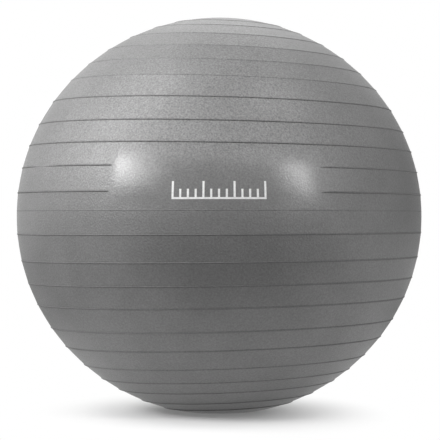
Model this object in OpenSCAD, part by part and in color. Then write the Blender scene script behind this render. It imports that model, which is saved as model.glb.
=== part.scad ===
// Exercise ball: an inflated, ribbed PVC skin that stands on the flat patch
// which its own weight presses into it, with a valve sleeve and a plug.
// The origin is the middle of the flat patch and +Z is up. The smooth panel
// for a print faces -Y and the valve faces +Y.

/* [Ball] */
// Width of the ball across its widest part, without the ribs
ball_d = 750; // [450:5:950]
// How far the top and the bottom of the ball sink in under its own weight
droop = 7; // [2:0.5:15]
// Width of the flat patch that rests on the floor
patch_d = 142; // [60:2:220]
// Thickness of the stretched skin
skin_t = 0.8; // [0.6:0.1:2]

/* [Ribs] */
// Height of a rib above the skin
rib_h = 1.1; // [0.6:0.1:2]
// Width of a rib where it meets the skin
rib_w = 2.4; // [1.6:0.1:4]
// Height of the mould's parting line above the skin
seam_h = 0.3; // [0.1:0.1:0.6]
// Width of the mould's parting line
seam_w = 1.2; // [0.8:0.1:2]

/* [Smooth panel] */
// Left end of the panel, in degrees from the middle of the front
panel_left = 30; // [10:0.5:60]
// Right end of the panel, in degrees from the middle of the front
panel_right = 27.5; // [10:0.5:60]

/* [Valve] */
// Width of the collar that fills the hole in the skin
collar_d = 26; // [23:1:32]
// Height of the collar above the skin
collar_h = 0.8; // [0.4:0.1:1.5]
// Width of the flange that is welded inside the skin
flange_d = 36; // [34:1:48]
// Thickness of the flange
flange_t = 2; // [1.5:0.1:4]
// Clearance between the rim of the flange and the curved skin
weld_gap = 0.05; // [0.02:0.01:0.2]
// Outer width of the tube that grips the plug
tube_d = 15; // [12.5:0.5:20]
// Length of the tube behind the flange
tube_l = 23; // [15:1:40]

/* [Plug] */
// Width of the plug's shank across its rings
shank_d = 8.9; // [6:0.1:10]
// Clearance all round the shank in its bore
shank_gap = 0.05; // [0.02:0.01:0.09]
// Length of the shank under the head
shank_l = 34; // [24:1:50]
// Depth of the grooves between the rings
groove_depth = 0.5; // [0.2:0.1:0.8]
// Distance from one ring to the next
ring_pitch = 5; // [4:0.5:8]
// Width of the plug's head
head_d = 18; // [14:0.5:19]
// Thickness of the plug's head
head_t = 2.2; // [1.5:0.1:3]
// Clearance round the head in its recess
head_gap = 0.4; // [0.2:0.1:1]
// Clearance under the head
seat_gap = 0.2; // [0.1:0.1:0.5]

/* [Hidden] */
$fn = 180;
small_fn = 48;

// Places on the skin are given by the angle at which the skin faces there, in
// degrees above level. These are the whole ribs, from the middle outwards.
upper_ribs = [20, 26.5, 34, 41.5, 48, 54.5, 61.5, 68.5, 74.5];
lower_ribs = [-5, -12.5, -19, -25.5, -33, -39.5, -46.5, -52.5, -58, -65, -71.5];
// the two ribs that stop at the smooth panel, and the parting line below it
panel_ribs = [6.5, 13.5];
seam_angle = 1.5;
// the valve stands between the first two ribs below the parting line
valve_angle = (lower_ribs[0] + lower_ribs[1]) / 2;

// The ball's outline is an oval of two arcs that meet smoothly: one for the
// side, and one for the crown, whose centre lies on the far side of the middle.
half_d = ball_d / 2;
half_h = half_d - droop;
side_r = half_h * half_h / half_d;
side_x = half_d - side_r;
crown_y = (pow(side_x, 2) - pow(half_h - side_r, 2)) / (2 * (half_h - side_r));
crown_r = half_h + crown_y;
meet_angle = atan2(crown_y, side_x);

// the floor cuts the crown off where it is as wide as the patch
centre_z = sqrt(pow(crown_r, 2) - pow(patch_d / 2, 2)) - crown_y;

// valve sizes, along its own axis from the outside of the skin
inner_r = side_r - skin_t;
skin_sag = inner_r - sqrt(pow(inner_r, 2) - pow(flange_d / 2, 2));
flange_top = -(skin_t + skin_sag + weld_gap);
flange_bottom = flange_top - flange_t;
recess_floor = collar_h - head_t;
recess_d = head_d + 2 * head_gap;
bore_d = shank_d + 2 * shank_gap;

// distance from the axis, and height above the middle, of a place on the skin
function skin_point(angle) =
    abs(angle) < meet_angle
        ? [side_x + side_r * cos(angle), side_r * sin(angle)]
        : [crown_r * cos(angle), crown_r * sin(angle) - sign(angle) * crown_y];

// right half of the oval, drawn the given depth inside the outer skin
module half_oval(depth = 0) {
    intersection() {
        union() {
            translate([side_x, 0]) circle(side_r - depth);
            intersection() {
                translate([0, -crown_y]) circle(crown_r - depth);
                translate([0, crown_y]) circle(crown_r - depth);
                square([2 * (crown_r - depth) * cos(meet_angle), ball_d], center = true);
            }
        }
        translate([0, -ball_d]) square([ball_d, 2 * ball_d]);
    }
}

// section of a rounded rib, rooted three quarters of the way into the skin
module rib_section(angle, height, width) {
    bead_r = (pow(width / 2, 2) + pow(height, 2)) / (2 * height);
    root = 3 / 4 * skin_t;
    translate(skin_point(angle) + [0, centre_z])
        rotate(angle)
            intersection() {
                translate([height - bead_r, 0]) circle(bead_r, $fn = small_fn);
                translate([-root, -width]) square([root + height, 2 * width]);
            }
}

// section of the whole moulding but for the ribs that stop at the panel
module skin_section() {
    difference() {
        intersection() {
            union() {
                translate([0, centre_z]) half_oval();
                for (angle = concat(upper_ribs, lower_ribs))
                    rib_section(angle, rib_h, rib_w);
                rib_section(seam_angle, seam_h, seam_w);
            }
            square([ball_d, 2 * ball_d]);
        }
        intersection() {
            translate([0, centre_z]) half_oval(skin_t);
            translate([0, skin_t]) square([ball_d, 2 * ball_d]);
        }
    }
}

// puts its children on the valve: +Z points out of the ball, z = 0 is the skin
module at_valve() {
    place = skin_point(valve_angle);
    translate([0, place[0], centre_z + place[1]])
        rotate([valve_angle - 90, 0, 0])
            children();
}

// cylinder along the valve between two heights
module valve_cylinder(d, from, to) {
    translate([0, 0, from]) cylinder(d = d, h = to - from, $fn = small_fn);
}

module ball_shell() {
    color([0.42, 0.42, 0.43])
        difference() {
            union() {
                rotate_extrude() skin_section();
                for (angle = panel_ribs)
                    rotate([0, 0, 270 + panel_right])
                        rotate_extrude(angle = 360 - panel_left - panel_right)
                            rib_section(angle, rib_h, rib_w);
            }
            at_valve() valve_cylinder(collar_d, flange_bottom, collar_d);
        }
}

module valve_sleeve() {
    tube_end = flange_bottom - tube_l;
    color([0.36, 0.36, 0.37])
        at_valve() difference() {
            union() {
                valve_cylinder(collar_d, flange_bottom, collar_h);
                valve_cylinder(flange_d, flange_bottom, flange_top);
                valve_cylinder(tube_d, tube_end, flange_top);
            }
            valve_cylinder(recess_d, recess_floor, collar_h + 1);
            valve_cylinder(bore_d, tube_end - 1, collar_h);
        }
}

// right half of the plug, with y = 0 under its head
module plug_section() {
    core_r = shank_d / 2 - groove_depth;
    rim_r = head_t / 2;
    ring_w = ring_pitch / 2;
    // head with a rounded rim
    square([head_d / 2 - rim_r, head_t]);
    translate([head_d / 2 - rim_r, rim_r]) circle(rim_r, $fn = small_fn);
    // core of the shank with a round tip
    translate([0, core_r - shank_l]) square([core_r, shank_l - core_r]);
    intersection() {
        translate([0, core_r - shank_l]) circle(core_r, $fn = small_fn);
        translate([0, -shank_l]) square([core_r, core_r]);
    }
    // rings that seal against the bore
    for (y = [ring_pitch : ring_pitch : shank_l - core_r])
        translate([0, -y]) square([shank_d / 2, ring_w]);
}

module plug() {
    color([0.92, 0.92, 0.91])
        at_valve() translate([0, 0, recess_floor + seat_gap])
            rotate_extrude($fn = small_fn) plug_section();
}

ball_shell();
valve_sleeve();
plug();
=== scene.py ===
import math

import bmesh
import bpy
import numpy as np
from mathutils import Matrix, Quaternion, Vector


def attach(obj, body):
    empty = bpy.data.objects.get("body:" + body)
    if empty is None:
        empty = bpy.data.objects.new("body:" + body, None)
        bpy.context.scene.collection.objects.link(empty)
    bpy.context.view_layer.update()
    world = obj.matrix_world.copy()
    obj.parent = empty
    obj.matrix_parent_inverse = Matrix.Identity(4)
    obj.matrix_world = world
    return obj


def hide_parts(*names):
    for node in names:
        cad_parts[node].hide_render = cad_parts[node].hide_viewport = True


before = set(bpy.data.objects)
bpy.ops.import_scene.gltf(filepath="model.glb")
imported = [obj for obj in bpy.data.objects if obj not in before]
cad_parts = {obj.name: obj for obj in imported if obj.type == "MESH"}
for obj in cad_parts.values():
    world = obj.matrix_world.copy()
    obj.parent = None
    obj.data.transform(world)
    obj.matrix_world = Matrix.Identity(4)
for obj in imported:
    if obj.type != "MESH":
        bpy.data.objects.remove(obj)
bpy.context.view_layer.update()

# ---------------------------------------------------------------------------
# The camera stands nearly level with the middle of the ball, straight in front
# of its smooth panel and nine ball radii away, so the outline stays round.
camera_aside, camera_away, camera_up = 0.0016, 3.375, 0.3542
focal_length = 148.1    # in millimetres


def put_in_scene(name, data):
    """An object of this name that holds this mesh, lamp or camera."""
    thing = bpy.data.objects.new(name, data)
    bpy.context.scene.collection.objects.link(thing)
    return thing


camera = put_in_scene("camera", bpy.data.cameras.new("camera"))
camera.location = (camera_aside, -camera_away, camera_up)
camera.rotation_euler = (math.radians(90), 0, 0)
camera.data.lens = focal_length
bpy.context.scene.camera = camera

# ---------------------------------------------------------------------------
# The ball itself: one hollow moulding of soft grey PVC, blown up until it is
# firm. Thick ribs run round it like the lines of latitude on a globe, and its
# own weight presses a flat patch into the bottom. Two of the ribs stop short
# of a smooth panel on the front, and a hole at the back takes the valve.
ball_d = 0.750          # across the widest part, without the ribs
droop = 0.007           # how far top and bottom sink in under the weight
patch_d = 0.142         # the flat patch on the floor
patch_edge = 0.0012     # how softly the skin bends up from it
skin_t = 0.0008         # the stretched skin
rib_h, rib_w = 0.0011, 0.0024
seam_h, seam_w = 0.0003, 0.0012
swell_h, swell_w = 0.00035, 0.007       # the skin thickens softly towards each rib

# Each rib is named by the angle at which the skin faces there, in degrees.
upper_ribs = [20, 26.5, 34, 41.5, 48, 54.5, 61.5, 68.5, 74.5]
lower_ribs = [-5, -12.5, -19, -25.5, -33, -39.5, -46.5, -52.5, -58, -65, -71.5]
panel_ribs = [6.5, 13.5]
parting_line = 1.5
panel_left, panel_right = -30, 27.5
valve_angle = (lower_ribs[0] + lower_ribs[1]) / 2

# The whole ribs stand lower by this share of their height in two bands: from
# top_from upwards, and from the parting line down to below_seam_to (degrees).
shallower = 0.35
top_from, below_seam_to = 38, -29

# The two panel ribs sink into the skin at their ends over these angles, and
# the upper one is worn away for a hand's breadth.
left_end, right_end = 0.5, 1.6
worn_at, worn_reach, worn_share = -59, 6, 0.87

# The skin stretched a little more on the left than on the right when it was
# blown up, so the ribs fan out: a rib leans by this many degrees for each unit
# of the sine of its angle.
rib_lean = 2.85

# The outline is an oval of a side arc and a crown arc that meet smoothly.
half_d = ball_d / 2
half_h = half_d - droop
side_r = half_h * half_h / half_d
side_x = half_d - side_r
crown_y = (side_x ** 2 - (half_h - side_r) ** 2) / (2 * (half_h - side_r))
crown_r = half_h + crown_y
meet_angle = math.atan2(crown_y, side_x)
centre_z = math.sqrt(crown_r ** 2 - (patch_d / 2) ** 2) - crown_y


def skin_place(facing):
    """Where the skin faces this way (radians): distance from the upright axis, height above the middle."""
    on_side = np.abs(facing) < meet_angle
    arc_r = np.where(on_side, side_r, crown_r)
    out = np.where(on_side, side_x, 0) + arc_r * np.cos(facing)
    up = arc_r * np.sin(facing) - np.where(on_side, 0, np.sign(facing) * crown_y)
    return out, up


def soft_step(x, edge, width):
    """Rises smoothly from 0 to 1 over this width, with its middle at the edge."""
    t = np.clip((x - edge) / width + 0.5, 0, 1)
    return t * t * (3 - 2 * t)


def rib_share(angle):
    """How high a whole rib stands, as a share of its full height."""
    near_top = soft_step(angle, top_from, 4)
    below_seam = soft_step(-angle, 0, 8) * (1 - soft_step(-angle, -below_seam_to, 6))
    return 1 - shallower * near_top - shallower * below_seam


def panel_rib_shares(side):
    """How much of the lower and of the upper panel rib stands at these angles round the ball."""
    from_ends = np.maximum((panel_left - side) / left_end, (side - panel_right) / right_end)
    whole = np.clip(from_ends, 0, 1)
    return whole, whole * (1 - worn_share * np.exp(-((side - worn_at) / worn_reach) ** 4))


def bead_height(across, height, width):
    """Height of a rounded bead at a distance from its middle."""
    bead_r = ((width / 2) ** 2 + height ** 2) / (2 * height)
    inside = np.clip(bead_r ** 2 - across ** 2, 0, None)
    return np.clip(np.sqrt(inside) + height - bead_r, 0, height)


def swell_height(across):
    """How much thicker the skin is at a distance from the middle of a rib."""
    return swell_h * np.exp(-(across / swell_w) ** 2)


def skin_rows():
    """The angles of the rows of the outer mesh, from the bottom up, close together on the beads."""
    row_gap = 1.25                                      # degrees
    patch_low, patch_high, patch_gap = -84, -74, 0.4    # degrees, round the edge of the flat patch
    rib_clear, seam_clear = 12, 2.6                     # millimetres without any other row
    on_swell = [4.8, 8.6]                               # millimetres from the middle of a rib
    rows = set(np.round(np.arange(-90, 90.1, row_gap), 3))
    rows |= set(np.round(np.arange(patch_low, patch_high, patch_gap), 3))
    beads = [(a, rib_w, rib_clear, on_swell) for a in upper_ribs + lower_ribs + panel_ribs]
    beads.append((parting_line, seam_w, seam_clear, []))
    for angle, width, clear, beside in beads:
        per_mm = math.degrees(0.001 / (side_r if abs(math.radians(angle)) < meet_angle else crown_r))
        rows = {r for r in rows if abs(r - angle) > clear * per_mm}
        half = width * 500      # half the bead's width, in millimetres
        for across in [0, 0.5 * half, 0.87 * half, half, half + 0.35, half + 1.2] + beside:
            rows |= {round(angle + across * per_mm, 4), round(angle - across * per_mm, 4)}
    return np.radians(sorted(rows))


def skin_columns():
    """The angles of the columns round the ball from its front, close together where the panel ribs end."""
    column_gap = 2.0
    columns = set(np.round(np.arange(-180, 180, column_gap), 3))
    for end in (panel_left, panel_right):
        columns |= set(np.round(end + np.array([-1.8, -1.4, -1, -0.6, -0.3, 0, 0.3]), 3))
    return np.radians(sorted(columns))


def ball_surface(rows, columns, depth=0.0, beads=True):
    """Corners of the skin on a grid of rows and columns, the given depth inside it.

    It also gives the row's angle and the column's angle for each corner, in radians."""
    facing, turn = np.meshgrid(rows, columns, indexing="ij")
    degrees = np.degrees(facing)
    # lean each row of the ball about the line from front to back
    lean = np.radians(rib_lean) * np.sin(facing)
    x, y, z = np.cos(facing) * np.sin(turn), -np.cos(facing) * np.cos(turn), np.sin(facing)
    x, z = x * np.cos(lean) + z * np.sin(lean), z * np.cos(lean) - x * np.sin(lean)
    from_axis = np.hypot(x, y)
    leant = np.arctan2(z, from_axis)
    out, up = skin_place(leant)
    # which way the corner lies from the upright axis, or nowhere on the axis itself
    nearest = 1e-9
    to_x = np.where(from_axis > nearest, x / np.maximum(from_axis, nearest), 0)
    to_y = np.where(from_axis > nearest, y / np.maximum(from_axis, nearest), 0)
    lift = np.zeros_like(facing) - depth
    if beads:
        arc_r = np.where(np.abs(leant) < meet_angle, side_r, crown_r)
        for angle in upper_ribs + lower_ribs:
            across = np.radians(degrees - angle) * arc_r
            lift += bead_height(across, rib_h, rib_w) * rib_share(angle) + swell_height(across)
        lift += bead_height(np.radians(degrees - parting_line) * arc_r, seam_h, seam_w)
        for angle, share in zip(panel_ribs, panel_rib_shares(np.degrees(turn))):
            across = np.radians(degrees - angle) * arc_r
            bead = bead_height(across, rib_h, rib_w) + swell_height(across)
            lift += bead * np.sin(share * math.pi / 2)
    px = to_x * (out + lift * np.cos(leant))
    py = to_y * (out + lift * np.cos(leant))
    pz = centre_z + up + lift * np.sin(leant)
    # the floor holds the bottom up in a flat patch with a soft edge
    over_floor = pz - depth
    pz = depth + (over_floor + np.sqrt(over_floor ** 2 + patch_edge ** 2)) / 2
    pz -= (pz.min() - depth)
    return np.stack([px, py, pz], axis=-1), facing, turn


def grid_faces(n_rows, n_columns, first=0, flip=False):
    """Faces of a closed grid whose first and last rows are single points."""
    def ring(r, c):
        return first + 1 + (r - 1) * n_columns + c % n_columns

    faces = []
    last = first + 1 + (n_rows - 2) * n_columns
    for c in range(n_columns):
        faces.append((first, ring(1, c + 1), ring(1, c)))
        faces.append((last, ring(n_rows - 2, c), ring(n_rows - 2, c + 1)))
    for r in range(1, n_rows - 2):
        for c in range(n_columns):
            faces.append((ring(r, c), ring(r, c + 1), ring(r + 1, c + 1), ring(r + 1, c)))
    return [f[::-1] for f in faces] if flip else faces


def grid_corners(points):
    """The grid's corners as one list, with a single point for each pole."""
    return np.vstack([points[0].mean(0)[None], points[1:-1].reshape(-1, 3), points[-1].mean(0)[None]])


rows, columns = skin_rows(), skin_columns()
outside, facing, turn = ball_surface(rows, columns)
inner_row_gap, inner_column_gap = 2.5, 3    # degrees; the inner face has no beads
inner_rows = np.radians(np.arange(-90, 90.1, inner_row_gap))
inner_columns = np.radians(np.arange(-180, 180, inner_column_gap))
inside, _, _ = ball_surface(inner_rows, inner_columns, depth=skin_t, beads=False)
outer_corners, inner_corners = grid_corners(outside), grid_corners(inside)
skin_mesh = bpy.data.meshes.new("ball_skin")
skin_mesh.from_pydata(
    np.vstack([outer_corners, inner_corners]).tolist(),
    [],
    grid_faces(len(rows), len(columns))
    + grid_faces(len(inner_rows), len(inner_columns), len(outer_corners), flip=True),
)
skin_mesh.polygons.foreach_set("use_smooth", [True] * len(skin_mesh.polygons))
ball_skin = put_in_scene("ball_skin", skin_mesh)

# the smooth panel: 1 on it, 0 off it, with soft edges
angle, side = np.degrees(facing), np.degrees(turn)
panel = (
    soft_step(angle, parting_line + 1.5, 3) * (1 - soft_step(angle, panel_ribs[1] + 3, 5))
    * soft_step(side, panel_left + 1, 4) * (1 - soft_step(side, panel_right - 2, 7))
)

bead_edge = 0.001       # how softly a bead's darker tone ends


def on_bead(middle, width):
    """1 on the bead at this angle, 0 off it, with a soft edge."""
    across = np.abs(np.radians(angle - middle)) * side_r
    return 1 - soft_step(across, width / 2 + bead_edge / 2, bead_edge)


# the ribs: 1 on a rib, less on the parting line, 0 between them; it says how
# much painted shade darkens each rib's line, and makes the ribs less silvery and rougher
rib = np.max([on_bead(middle, rib_w) for middle in upper_ribs + lower_ribs], axis=0)
for middle, share in zip(panel_ribs, panel_rib_shares(side)):
    rib = np.maximum(rib, share * on_bead(middle, rib_w))
rib = np.maximum(rib, 0.5 * on_bead(parting_line, seam_w))
rib *= (
    1
    - 0.35 * soft_step(angle, 12, 14)           # paler above the panel
    - 0.4 * soft_step(angle, top_from, 4)       # and palest near the top
    - 0.1 * soft_step(-angle, -below_seam_to, 6)
    - 0.4 * soft_step(-angle, 45, 4)            # and near the bottom
)

# how much stronger the grain's speckle is, as painted glints where the lamps
# at the left graze the skin: most in the upper left, less to the right and on the panel
painted_glints = soft_step(angle, 12, 20) * (1 - 0.8 * soft_step(side, 30, 40)) * (1 - 0.4 * panel)

for name, values in (("smooth_panel", panel), ("rib", rib), ("painted_glints", painted_glints)):
    values = np.concatenate([[0], values[1:-1].ravel(), [0], np.zeros(len(inner_corners))])
    skin_mesh.attributes.new(name, "FLOAT", "POINT").data.foreach_set("value", values.astype(np.float32))


def mesh_from(shape, name):
    """The finished shape as a mesh of this name."""
    mesh = bpy.data.meshes.new(name)
    shape.to_mesh(mesh)
    shape.free()
    return mesh


# the hole for the valve, cut straight through the wall
collar_d = 0.026
round_sides = 96        # flat sides of each round edge of the valve
valve_out, valve_up = skin_place(math.radians(valve_angle))
valve_place = Vector((0, float(valve_out), centre_z + float(valve_up)))
valve_frame = Matrix.Translation(valve_place) @ Matrix.Rotation(math.radians(valve_angle - 90), 4, "X")
drill_shape = bmesh.new()
bmesh.ops.create_cone(
    drill_shape, cap_ends=True, segments=round_sides,
    radius1=collar_d / 2, radius2=collar_d / 2, depth=0.03,
)
drill_shape.transform(valve_frame)
drill = put_in_scene("drill", mesh_from(drill_shape, "drill"))
cut = ball_skin.modifiers.new("valve hole", "BOOLEAN")
cut.operation, cut.object, cut.solver = "DIFFERENCE", drill, "MANIFOLD"
bpy.context.view_layer.update()
drilled = bpy.data.meshes.new_from_object(ball_skin.evaluated_get(bpy.context.evaluated_depsgraph_get()))
ball_skin.modifiers.clear()
ball_skin.data = drilled
bpy.data.objects.remove(drill)

# the rim of the hole stays crisp
crisp_angle = math.radians(50)
drilled_shape = bmesh.new()
drilled_shape.from_mesh(drilled)
for edge in drilled_shape.edges:
    at_hole = all((v.co - valve_place).length < collar_d for v in edge.verts)
    if at_hole and len(edge.link_faces) == 2 and edge.calc_face_angle() > crisp_angle:
        edge.smooth = False
drilled_shape.to_mesh(drilled)
drilled_shape.free()


def new_material(name):
    """A material of this name, its nodes, and its main shader."""
    material = bpy.data.materials.new(name)
    material.use_nodes = True
    nodes = material.node_tree.nodes
    return material, nodes, nodes["Principled BSDF"]


def connect(owner, *pairs):
    """Joins sockets of a material's or a world's nodes, each pair from an output to an input."""
    for output, socket in pairs:
        owner.node_tree.links.new(output, socket)


def value_range(nodes, low, high, from_low=0.0, from_high=1.0):
    """A node that turns one range of values into another."""
    node = nodes.new("ShaderNodeMapRange")
    for socket, value in (("From Min", from_low), ("From Max", from_high), ("To Min", low), ("To Max", high)):
        node.inputs[socket].default_value = value
    return node


def math_node(nodes, operation):
    """A node that works out one value from others."""
    node = nodes.new("ShaderNodeMath")
    node.operation = operation
    return node


def noise(nodes, scale, detail, roughness=0.5):
    """A noise pattern, with so many grains to the metre."""
    node = nodes.new("ShaderNodeTexNoise")
    for socket, value in (("Scale", scale), ("Detail", detail), ("Roughness", roughness)):
        node.inputs[socket].default_value = value
    return node


noise_low, noise_high = 0.3, 0.7    # nearly all of a noise pattern lies between these


def stored_value(nodes, name):
    """A node that reads a value stored on the mesh."""
    node = nodes.new("ShaderNodeAttribute")
    node.attribute_name = name
    return node


def bump_node(nodes, distance, strength=1.0):
    """A node that turns a pattern into small relief, this many metres deep."""
    node = nodes.new("ShaderNodeBump")
    node.inputs["Distance"].default_value = distance
    node.inputs["Strength"].default_value = strength
    return node


# PVC with silvery grey pigment and a fine sandy grain from the mould, smoother
# on the panel. The grain's speckle is stronger in the upper left as painted
# glints from the lamps at the left, and the ribs are painted darker as painted
# shade along their lines, less silvery and rougher.
skin_pvc, nodes, pvc = new_material("grey sandy PVC")
pvc.inputs["IOR"].default_value = 1.45
place = nodes.new("ShaderNodeTexCoord")
grain, cloud = noise(nodes, 340, 2.5, 0.55), noise(nodes, 14, 3)
panel_value = stored_value(nodes, "smooth_panel")
rib_value = stored_value(nodes, "rib")
painted_glints_value = stored_value(nodes, "painted_glints")
tone = value_range(nodes, 0.16, 0.18, noise_low, noise_high)
speckle = value_range(nodes, 0, 1, noise_low, noise_high)
darkest, palest = value_range(nodes, 0.84, 0.68), value_range(nodes, 1.16, 1.32)    # fine grain, then grain with painted glints
rib_darkening = value_range(nodes, 1, 0.72)         # skin, then rib darkened as painted shade
silver = value_range(nodes, 0.3, 0.1)
paint, shaded_paint = math_node(nodes, "MULTIPLY"), math_node(nodes, "MULTIPLY")
gloss = value_range(nodes, 0.45, 0.28)      # skin, then panel
rib_gloss = value_range(nodes, 0, 0.2)
all_gloss = math_node(nodes, "ADD")
relief = value_range(nodes, 0.6, 0.25)      # skin, then panel
bump = bump_node(nodes, 0.001)
connect(
    skin_pvc,
    (place.outputs["Object"], grain.inputs["Vector"]),
    (place.outputs["Object"], cloud.inputs["Vector"]),
    (cloud.outputs["Fac"], tone.inputs["Value"]),
    (painted_glints_value.outputs["Fac"], darkest.inputs["Value"]),
    (painted_glints_value.outputs["Fac"], palest.inputs["Value"]),
    (grain.outputs["Fac"], speckle.inputs["Value"]),
    (darkest.outputs["Result"], speckle.inputs["To Min"]),
    (palest.outputs["Result"], speckle.inputs["To Max"]),
    (tone.outputs["Result"], paint.inputs[0]),
    (speckle.outputs["Result"], paint.inputs[1]),
    (rib_value.outputs["Fac"], rib_darkening.inputs["Value"]),
    (paint.outputs["Value"], shaded_paint.inputs[0]),
    (rib_darkening.outputs["Result"], shaded_paint.inputs[1]),
    (shaded_paint.outputs["Value"], pvc.inputs["Base Color"]),
    (rib_value.outputs["Fac"], silver.inputs["Value"]),
    (silver.outputs["Result"], pvc.inputs["Metallic"]),
    (panel_value.outputs["Fac"], gloss.inputs["Value"]),
    (rib_value.outputs["Fac"], rib_gloss.inputs["Value"]),
    (gloss.outputs["Result"], all_gloss.inputs[0]),
    (rib_gloss.outputs["Result"], all_gloss.inputs[1]),
    (all_gloss.outputs["Value"], pvc.inputs["Roughness"]),
    (panel_value.outputs["Fac"], relief.inputs["Value"]),
    (relief.outputs["Result"], bump.inputs["Strength"]),
    (grain.outputs["Fac"], bump.inputs["Height"]),
    (bump.outputs["Normal"], pvc.inputs["Normal"]),
)
ball_skin.data.materials.clear()
ball_skin.data.materials.append(skin_pvc)
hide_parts("ball_shell")
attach(ball_skin, "ball")

# ---------------------------------------------------------------------------
# The mark on the smooth panel: white ink, screen printed on the skin before it
# is blown up. It is a plain scale, a level line with upright strokes on it.
ink_t = 0.00012                 # how far the ink stands off the skin
mark_l = 0.160                  # length of the line
mark_up = 6.8                   # the angle at which the skin faces at the mark's middle
line_h, stroke_w = 0.0032, 0.0036
short_h, long_h = 0.014, 0.027  # heights of the strokes above the line
stroke_gaps, long_every = 12, 4

# The mark is a grid of cells, one column for each stroke and each gap between
# two strokes, and one or more rows for the line and each kind of stroke.
pitch = (mark_l - stroke_w) / stroke_gaps
across, kinds = [], []
for i in range(stroke_gaps + 1):
    start = -mark_l / 2 + i * pitch
    across += [start, start + stroke_w]
    kinds += ["long stroke" if i % long_every == 0 else "short stroke", "gap"]
kinds = kinds[:-1]
short_top, long_top = line_h + short_h, line_h + long_h
heights = [0, line_h, *np.linspace(line_h, short_top, 3)[1:], *np.linspace(short_top, long_top, 3)[1:]]
rows_inked = {"gap": 1, "short stroke": 3, "long stroke": 5}
inked = {(c, r) for c, kind in enumerate(kinds) for r in range(rows_inked[kind])}
mark_shape = bmesh.new()
mark_corners = {}


def mark_corner(column, row, on_top):
    """A corner of the printed mark, on the skin or on the ink."""
    key = (column, row, on_top)
    if key not in mark_corners:
        turn_by = across[column] / half_d
        faces_at = math.radians(mark_up) + (heights[row] - heights[-1] / 2) / side_r
        out, up = skin_place(faces_at)
        lift = ink_t if on_top else -ink_t
        out, up = float(out) + lift * math.cos(faces_at), float(up) + lift * math.sin(faces_at)
        mark_corners[key] = mark_shape.verts.new(
            (out * math.sin(turn_by), -out * math.cos(turn_by), centre_z + up))
    return mark_corners[key]


for c, r in sorted(inked):
    cell = ((c, r), (c + 1, r), (c + 1, r + 1), (c, r + 1))
    neighbours = ((c, r - 1), (c + 1, r), (c, r + 1), (c - 1, r))
    mark_shape.faces.new([mark_corner(*p, True) for p in cell])
    mark_shape.faces.new([mark_corner(*p, False) for p in cell[::-1]])
    for p, q, beside in zip(cell, cell[1:] + cell[:1], neighbours):
        if beside not in inked:
            mark_shape.faces.new([mark_corner(*q, True), mark_corner(*p, True),
                                  mark_corner(*p, False), mark_corner(*q, False)])
mark_mesh = mesh_from(mark_shape, "panel_mark")
panel_mark = put_in_scene("panel_mark", mark_mesh)

# matt white ink, a little uneven where it went on thin
ink, nodes, ink_shader = new_material("white screen ink")
place = nodes.new("ShaderNodeTexCoord")
thin_ink, ink_grain = noise(nodes, 180, 2), noise(nodes, 900, 2)
white_tone = value_range(nodes, 0.78, 0.88, 0.35, 0.6)
ink_gloss = value_range(nodes, 0.42, 0.55, noise_low, noise_high)
ink_bump = bump_node(nodes, 0.0001, 0.5)
connect(
    ink,
    (place.outputs["Object"], thin_ink.inputs["Vector"]),
    (place.outputs["Object"], ink_grain.inputs["Vector"]),
    (thin_ink.outputs["Fac"], white_tone.inputs["Value"]),
    (white_tone.outputs["Result"], ink_shader.inputs["Base Color"]),
    (ink_grain.outputs["Fac"], ink_gloss.inputs["Value"]),
    (ink_gloss.outputs["Result"], ink_shader.inputs["Roughness"]),
    (ink_grain.outputs["Fac"], ink_bump.inputs["Height"]),
    (ink_bump.outputs["Normal"], ink_shader.inputs["Normal"]),
)
mark_mesh.materials.append(ink)
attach(panel_mark, "ball")

# ---------------------------------------------------------------------------
# The valve insert: a soft PVC moulding, welded to the inside of the skin by its
# flange. A low collar fills the hole, with a round recess for the plug's head,
# and a tube behind it grips the plug's shank.
collar_h, weld_gap = 0.0008, 0.00005
flange_d, flange_t = 0.036, 0.002
tube_d, tube_l = 0.015, 0.023
shank_d, shank_gap, shank_l = 0.0089, 0.00005, 0.034
head_d, head_t, head_gap, seat_gap = 0.018, 0.0022, 0.0004, 0.0002
inner_r = side_r - skin_t
flange_top = -(skin_t + inner_r - math.sqrt(inner_r ** 2 - (flange_d / 2) ** 2) + weld_gap)
flange_bottom = flange_top - flange_t
tube_end = flange_bottom - tube_l
recess_floor = collar_h - head_t
recess_r, bore_r = head_d / 2 + head_gap, shank_d / 2 + shank_gap


def rounded_outline(corners):
    """Points of an outline whose corners are each rounded off by an arc.

    A corner is its distance from the axis, its height and the radius of its arc."""
    arc_steps = 6
    points = []
    for i, (r, z, rounding) in enumerate(corners):
        corner = Vector((r, z))
        if not rounding:
            points.append(tuple(corner))
            continue
        before = (Vector(corners[i - 1][:2]) - corner).normalized()
        after = (Vector(corners[(i + 1) % len(corners)][:2]) - corner).normalized()
        half_turn = before.angle(after) / 2
        centre = corner + (before + after).normalized() * rounding / math.sin(half_turn)
        start = corner + before * rounding / math.tan(half_turn) - centre
        end = corner + after * rounding / math.tan(half_turn) - centre
        sweep = start.angle_signed(end)
        for step in range(arc_steps + 1):
            turned = start.copy()
            turned.rotate(Matrix.Rotation(-sweep * step / arc_steps, 2))
            points.append(tuple(centre + turned))
    return points


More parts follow.
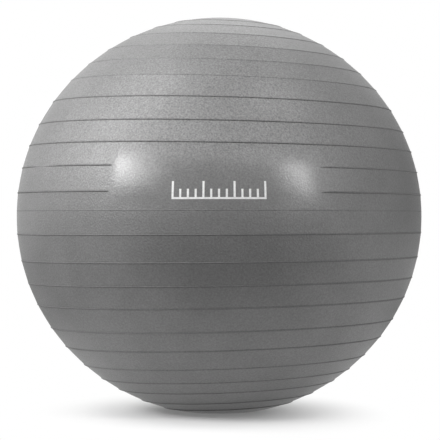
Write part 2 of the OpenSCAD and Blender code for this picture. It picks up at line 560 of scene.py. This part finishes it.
def lathe(name, corners, on_axis=False):
    """A piece turned round the valve's axis. With on_axis, its outline starts and ends on the axis."""
    crisp_bend = math.radians(32)
    shape = bmesh.new()
    rings = []
    for r, z in rounded_outline(corners):
        if on_axis and r < 1e-7:
            rings.append([shape.verts.new((0, 0, z))])
        else:
            rings.append([shape.verts.new((r * math.cos(t), r * math.sin(t), z))
                          for t in np.arange(round_sides) * 2 * math.pi / round_sides])
    pairs = list(zip(rings, rings[1:])) + ([] if on_axis else [(rings[-1], rings[0])])
    for low, high in pairs:
        for s in range(round_sides):
            loop = [low[s % len(low)], low[(s + 1) % len(low)],
                    high[(s + 1) % len(high)], high[s % len(high)]]
            loop = [v for i, v in enumerate(loop) if v not in loop[:i]]
            if len(loop) > 2:
                shape.faces.new(loop)
    bmesh.ops.recalc_face_normals(shape, faces=shape.faces)
    mesh = mesh_from(shape, name)
    mesh.polygons.foreach_set("use_smooth", [True] * len(mesh.polygons))
    mesh.set_sharp_from_angle(angle=crisp_bend)
    piece = put_in_scene(name, mesh)
    piece.matrix_world = valve_frame
    return piece


valve_insert = lathe("valve_insert", [
    (bore_r, tube_end, 0.0004),
    (tube_d / 2, tube_end, 0.0008),
    (tube_d / 2, flange_bottom, 0.0009),
    (flange_d / 2, flange_bottom, 0.0006),
    (flange_d / 2, flange_top, 0.0004),
    (collar_d / 2, flange_top, 0.0001),
    (collar_d / 2, collar_h, 0.0006),
    (recess_r, collar_h, 0.0004),
    (recess_r, recess_floor, 0.0003),
    (bore_r, recess_floor, 0.0002),
])


def along_and_out(material, place):
    """Two nodes: one gives a point's X, Y and Z on the valve's axis, the other its distance from it."""
    nodes = material.node_tree.nodes
    parts = nodes.new("ShaderNodeSeparateXYZ")
    level = nodes.new("ShaderNodeCombineXYZ")
    out = nodes.new("ShaderNodeVectorMath")
    out.operation = "LENGTH"
    connect(
        material,
        (place.outputs["Object"], parts.inputs[0]),
        (parts.outputs["X"], level.inputs["X"]),
        (parts.outputs["Y"], level.inputs["Y"]),
        (level.outputs["Vector"], out.inputs[0]),
    )
    return parts, out


# moulded PVC like the skin's, but thick, smooth and a little darker, with the
# faint turning marks of its mould, and darker still towards the floor of the
# recess and on all that lies deeper
insert_pvc, nodes, insert = new_material("grey moulded PVC")
insert.inputs["IOR"].default_value = 1.45
place = nodes.new("ShaderNodeTexCoord")
parts, out = along_and_out(insert_pvc, place)
turned_marks = nodes.new("ShaderNodeTexNoise")
turned_marks.noise_dimensions = "1D"
turned_marks.inputs["Scale"].default_value = 2600
fine, patch = noise(nodes, 1500, 2), noise(nodes, 160, 3)
insert_tone = value_range(nodes, 0.115, 0.145, noise_low, noise_high)
# darker towards the floor of the recess, and on all that lies deeper
recess_darkening = value_range(nodes, 0.8, 1, recess_floor, 0)
darkened = math_node(nodes, "MULTIPLY")
insert_gloss = value_range(nodes, 0.38, 0.52, noise_low, noise_high)
height = math_node(nodes, "MULTIPLY_ADD")
height.inputs[1].default_value = 0.5    # turning marks are half as deep as the fine grain
insert_bump = bump_node(nodes, 0.00006, 0.6)
connect(
    insert_pvc,
    (out.outputs["Value"], turned_marks.inputs["W"]),
    (place.outputs["Object"], fine.inputs["Vector"]),
    (place.outputs["Object"], patch.inputs["Vector"]),
    (patch.outputs["Fac"], insert_tone.inputs["Value"]),
    (parts.outputs["Z"], recess_darkening.inputs["Value"]),
    (insert_tone.outputs["Result"], darkened.inputs[0]),
    (recess_darkening.outputs["Result"], darkened.inputs[1]),
    (darkened.outputs["Value"], insert.inputs["Base Color"]),
    (fine.outputs["Fac"], insert_gloss.inputs["Value"]),
    (insert_gloss.outputs["Result"], insert.inputs["Roughness"]),
    (turned_marks.outputs["Fac"], height.inputs[0]),
    (fine.outputs["Fac"], height.inputs[2]),
    (height.outputs["Value"], insert_bump.inputs["Height"]),
    (insert_bump.outputs["Normal"], insert.inputs["Normal"]),
)
valve_insert.data.materials.append(insert_pvc)
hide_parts("valve_sleeve")
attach(valve_insert, "ball")

# ---------------------------------------------------------------------------
# The air plug: white polythene in one piece, a round head on a ringed shank.
# It is pushed into the valve insert by hand and stays there by the grip of its
# rings. The head has a rounded rim and a shallow dish with a small pip in it,
# where the polythene ran into the mould.
groove_depth, ring_pitch = 0.0005, 0.005
core_r, ring_w = shank_d / 2 - groove_depth, ring_pitch / 2
tip_r, tip_h, ring_slope = core_r * 0.45, core_r * 0.8, ring_w * 0.35
dish_r, dish_slope, dish_depth = 0.0058, 0.0009, 0.0004
pip_foot_r, pip_top_r, pip_h = 0.0011, 0.0009, 0.00025
seat = recess_floor + seat_gap
tip, head_top = seat - shank_l, seat + head_t
dish_floor = head_top - dish_depth

plug_corners = [(0, tip, 0), (tip_r, tip, 0.0008), (core_r, tip + tip_h, 0.0012)]
for n in range(int((shank_l - core_r) / ring_pitch), 0, -1):
    ring_low = seat - ring_pitch * n
    plug_corners += [
        (core_r, ring_low, 0.0003),
        (shank_d / 2, ring_low + ring_slope, 0.0005),
        (shank_d / 2, ring_low + ring_w, 0.0003),
        (core_r, ring_low + ring_w, 0.00018),
    ]
plug_corners += [
    (core_r, seat, 0.0003),
    (head_d / 2, seat, 0.0009),
    (head_d / 2, head_top, 0.00115),
    (dish_r + dish_slope, head_top, 0.0008),
    (dish_r, dish_floor, 0.0008),
    (pip_foot_r, dish_floor, 0.0002),
    (pip_top_r, dish_floor + pip_h, 0.0001),
    (0, dish_floor + pip_h, 0),
]
air_plug = lathe("air_plug", plug_corners, on_axis=True)

# milky white polythene: smooth, a little waxy, slightly dull where hands and
# floors have rubbed the head, and darker near the axis: in the grooves between
# the rings, at the tip and in the middle of the head
polythene, nodes, wax = new_material("white polythene")
wax.inputs["IOR"].default_value = 1.51
place = nodes.new("ShaderNodeTexCoord")
_, out = along_and_out(polythene, place)
milk, scuffs, pits = noise(nodes, 90, 3), noise(nodes, 700, 4, 0.7), noise(nodes, 2400, 2)
milk_tone = value_range(nodes, 0.78, 0.86, noise_low, noise_high)
scuff_gloss = value_range(nodes, 0.28, 0.5, 0.4, 0.7)
# darker near the axis: in the grooves between the rings, at the tip and in the middle of the head
near_axis_darkening = value_range(nodes, 0.86, 1, core_r, core_r + groove_depth * 0.8)
darkened = math_node(nodes, "MULTIPLY")
plug_bump = bump_node(nodes, 0.00003, 0.5)
connect(
    polythene,
    (place.outputs["Object"], milk.inputs["Vector"]),
    (place.outputs["Object"], scuffs.inputs["Vector"]),
    (place.outputs["Object"], pits.inputs["Vector"]),
    (out.outputs["Value"], near_axis_darkening.inputs["Value"]),
    (milk.outputs["Fac"], milk_tone.inputs["Value"]),
    (milk_tone.outputs["Result"], darkened.inputs[0]),
    (near_axis_darkening.outputs["Result"], darkened.inputs[1]),
    (darkened.outputs["Value"], wax.inputs["Base Color"]),
    (scuffs.outputs["Fac"], scuff_gloss.inputs["Value"]),
    (scuff_gloss.outputs["Result"], wax.inputs["Roughness"]),
    (pits.outputs["Fac"], plug_bump.inputs["Height"]),
    (plug_bump.outputs["Normal"], wax.inputs["Normal"]),
)
air_plug.data.materials.append(polythene)
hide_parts("plug")
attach(air_plug, "plug")

# ---------------------------------------------------------------------------
# The floor is a plain white sweep under and behind the ball. It takes the soft
# shadow in which the ball stands, and is white to the eye everywhere else.
floor_half, floor_drop = 30, 0.0002     # half its width, and its clearance under the ball
shadow_from, shadow_to = 0.075, 0.345   # the shadow fades out between these distances
shadow_push = (0.022, 0.045, 0)         # moves its middle to the left and to the front
shadow_stretch = (1, 0.75, 0)           # makes it longer from front to back
white_in_shadow, white_in_mirror = 0.16, 0.52   # its darkest, as seen and as the ball mirrors it


def seen_rays(owner):
    """Two nodes: the kinds of ray, and 1 for camera, glossy and transmission rays."""
    nodes = owner.node_tree.nodes
    kinds = nodes.new("ShaderNodeLightPath")
    either, seen = math_node(nodes, "MAXIMUM"), math_node(nodes, "MAXIMUM")
    connect(
        owner,
        (kinds.outputs["Is Camera Ray"], either.inputs[0]),
        (kinds.outputs["Is Glossy Ray"], either.inputs[1]),
        (either.outputs["Value"], seen.inputs[0]),
        (kinds.outputs["Is Transmission Ray"], seen.inputs[1]),
    )
    return kinds, seen


floor_shape = bmesh.new()
bmesh.ops.create_grid(floor_shape, x_segments=1, y_segments=1, size=floor_half)
floor_mesh = mesh_from(floor_shape, "floor")
floor = put_in_scene("floor", floor_mesh)
floor.location = (0, 0, -floor_drop)
white_sweep, nodes, unused_shader = new_material("white sweep")
nodes.remove(unused_shader)
matt = nodes.new("ShaderNodeBsdfDiffuse")
matt.inputs["Color"].default_value = (0.9, 0.9, 0.9, 1)
white = nodes.new("ShaderNodeEmission")
ray_kinds, seen = seen_rays(white_sweep)
place = nodes.new("ShaderNodeTexCoord")
in_shadow = nodes.new("ShaderNodeVectorMath")
in_shadow.operation = "MULTIPLY_ADD"
in_shadow.inputs[1].default_value, in_shadow.inputs[2].default_value = shadow_stretch, shadow_push
from_shadow = nodes.new("ShaderNodeVectorMath")
from_shadow.operation = "LENGTH"
white_share = value_range(nodes, white_in_shadow, 1, shadow_from, shadow_to)
white_share.interpolation_type = "SMOOTHSTEP"
least_white = value_range(nodes, white_in_shadow, white_in_mirror)
white_seen = math_node(nodes, "MULTIPLY")
fade = nodes.new("ShaderNodeMixShader")
connect(
    white_sweep,
    (place.outputs["Object"], in_shadow.inputs[0]),
    (in_shadow.outputs["Vector"], from_shadow.inputs[0]),
    (from_shadow.outputs["Value"], white_share.inputs["Value"]),
    (ray_kinds.outputs["Is Glossy Ray"], least_white.inputs["Value"]),
    (least_white.outputs["Result"], white_share.inputs["To Min"]),
    (seen.outputs["Value"], white_seen.inputs[0]),
    (white_share.outputs["Result"], white_seen.inputs[1]),
    (white_seen.outputs["Value"], fade.inputs["Fac"]),
    (matt.outputs["BSDF"], fade.inputs[1]),
    (white.outputs["Emission"], fade.inputs[2]),
    (fade.outputs["Shader"], nodes["Material Output"].inputs["Surface"]),
)
floor_mesh.materials.append(white_sweep)

# Four felt cards darken what the ball mirrors, as a real room does: on the
# floor a black one in front and grey ones behind and at the left, and a grey
# one that stands at the right. They are out of view and cast no shadow.
card_up = 0.004         # clear of the floor


def felt_card(name, grey, corners):
    """A card with these corners, given in turn so that its face looks at the ball."""
    mesh = bpy.data.meshes.new(name)
    mesh.from_pydata(corners, [], [(0, 1, 2, 3)])
    card = put_in_scene(name, mesh)
    card.visible_camera = card.visible_shadow = False
    felt, _, shader = new_material(name)
    shader.inputs["Base Color"].default_value = (grey, grey, grey, 1)
    shader.inputs["Roughness"].default_value = 0.9
    mesh.materials.append(felt)


def lying_card(name, grey, left, right, front, back):
    """A card that lies on the floor between these lines."""
    corners = ((left, front), (right, front), (right, back), (left, back))
    felt_card(name, grey, [(x, y, card_up) for x, y in corners])


lying_card("front card", 0.03, left=-1, right=1, front=-2.2, back=-0.55)
lying_card("back card", 0.42, left=-2.5, right=0.9, front=0.35, back=3.5)
lying_card("left card", 0.3, left=-2.0, right=-0.5, front=-0.3, back=0.35)
felt_card("right card", 0.4, [(2.9, 0.7, card_up), (2.9, 0.7, 1.5), (1.4, 2.7, 1.5), (1.4, 2.7, card_up)])

# ---------------------------------------------------------------------------
# The studio: soft boxes round the ball, and the white walls of the room, which
# also fill the background.
wall_light = 0.05       # the walls' strength as a light; where they are seen it is 1
studio_world = bpy.data.worlds.new("white room")
bpy.context.scene.world = studio_world
studio_world.use_nodes = True
nodes = studio_world.node_tree.nodes
walls = nodes["Background"]
walls.inputs["Color"].default_value = (1, 1, 1, 1)
_, seen = seen_rays(studio_world)
wall_level = value_range(nodes, wall_light, 1)
connect(
    studio_world,
    (seen.outputs["Value"], wall_level.inputs["Value"]),
    (wall_level.outputs["Result"], walls.inputs["Strength"]),
)


def soft_box(name, azimuth, elevation, away, size, power, roll=0):
    """A soft box that faces the middle of the ball, placed by its angles from the front in degrees.

    Left is negative, and roll turns the box clockwise as seen from the front."""
    lamp = bpy.data.lights.new(name, "AREA")
    lamp.shape, lamp.size, lamp.size_y = "RECTANGLE", size[0], size[1]
    lamp.energy = power
    box = put_in_scene(name, lamp)
    turn_by, lift_by = math.radians(azimuth), math.radians(elevation)
    direction = Vector((math.cos(lift_by) * math.sin(turn_by), -math.cos(lift_by) * math.cos(turn_by),
                        math.sin(lift_by)))
    middle = Vector((0, 0, centre_z))
    box.location = middle + direction * away
    facing_middle = (middle - box.location).to_track_quat("-Z", "Y")
    box.rotation_euler = (facing_middle @ Quaternion((0, 0, 1), math.radians(-roll))).to_euler()
    box.visible_camera = False


soft_box("left box", -63, 27, 2.4, (0.9, 0.7), 23)
soft_box("left highlight", -52, 20, 2.4, (0.75, 0.35), 6)
soft_box("left glow", -38.5, 22.5, 2.4, (0.5, 0.3), 2.7)
soft_box("right box", 46, 19, 2.4, (0.95, 0.42), 10.8, roll=36)
soft_box("front bank", -6, 44, 3.2, (4.2, 1.2), 35)
soft_box("high left box", -72, 62, 3.0, (1.4, 1.4), 33)
soft_box("high right box", 58, 60, 3.0, (1.4, 1.4), 18)
soft_box("far left box", -97, 28, 3.2, (1.2, 2.0), 23)
soft_box("back box", 175, 50, 3.2, (1.8, 1.4), 14)
soft_box("back left box", -135, 42, 3.2, (1.6, 1.6), 5.5)

bpy.context.scene.view_settings.view_transform = "Standard"
